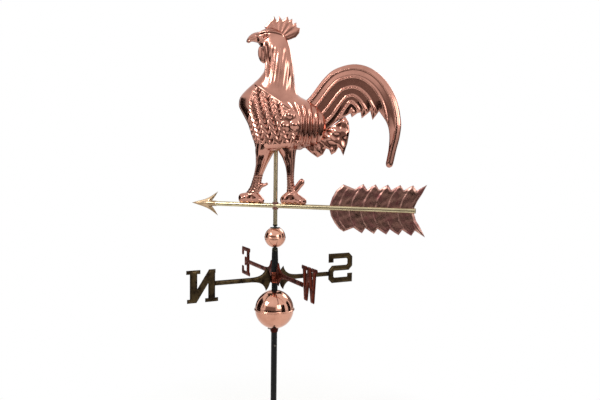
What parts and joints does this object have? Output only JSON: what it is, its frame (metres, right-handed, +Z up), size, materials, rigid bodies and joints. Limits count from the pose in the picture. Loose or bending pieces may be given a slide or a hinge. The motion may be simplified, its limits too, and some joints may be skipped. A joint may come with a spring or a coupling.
{
  "type": "weather vane",
  "caption": "Full-bodied copper rooster weather vane with arrow, two spun balls and north-south and east-west letter bars on a black post.",
  "frame": {"origin": "centre of the post's lower end face", "axes": "+Z up the post; the arrow points along -X at rest; north is at 45 degrees between -X and -Y"},
  "size_m": [0.633, 0.3394, 1.105],
  "materials": {
    "polished_copper": "polished",
    "mottled_copper": "mottled",
    "brass_tube": "drawn",
    "brass_casting": "cast",
    "steel": "turned",
    "dark_bush": "oxidised",
    "black_steel": "gloss",
    "bronze_letters": "oxidised casting",
    "copper_letters": "oxidised casting"
  },
  "bodies": {
    "mast": {"east_west_bar": "copper_letters", "large_ball_collar": "black_steel", "large_ball_lower_half": "polished_copper", "large_ball_set_screw": "steel", "large_ball_upper_half": "polished_copper", "north_south_bar": "bronze_letters", "pivot_rod": "steel", "post": "black_steel", "post_set_screw": "steel", "rod_plug": "steel", "small_ball_collar": "dark_bush", "small_ball_lower_half": "polished_copper", "small_ball_set_screw": "steel", "small_ball_upper_half": "polished_copper", "small_ball_washer": "dark_bush", "spacer_sleeve": "black_steel"},
    "vane": {"arrow_fin": "mottled_copper", "arrow_head": "brass_casting", "arrow_lower_solder": "mottled_copper", "arrow_tube": "brass_tube", "arrow_tube_cap": "brass_tube", "arrow_upper_solder": "mottled_copper", "beak": "polished_copper", "body_left_shell": "polished_copper", "body_right_shell": "polished_copper", "comb": "polished_copper", "front_foot": "polished_copper", "front_leg": "polished_copper", "front_spur": "polished_copper", "rear_foot": "polished_copper", "rear_leg": "polished_copper", "rear_spur": "polished_copper", "rump_feathers": "polished_copper", "spindle_brace": "steel", "spindle_lower_bush": "dark_bush", "spindle_plug": "steel", "spindle_tube": "brass_tube", "tail_left_shell": "polished_copper", "tail_right_shell": "polished_copper", "wattle": "polished_copper"}
  },
  "joints": [
    {"name": "vane_spin", "type": "hinge", "parent": "mast", "child": "vane", "pos_m": [0, 0, 0.62], "axis": [0, 0, 1], "continuous": true}
  ]
}
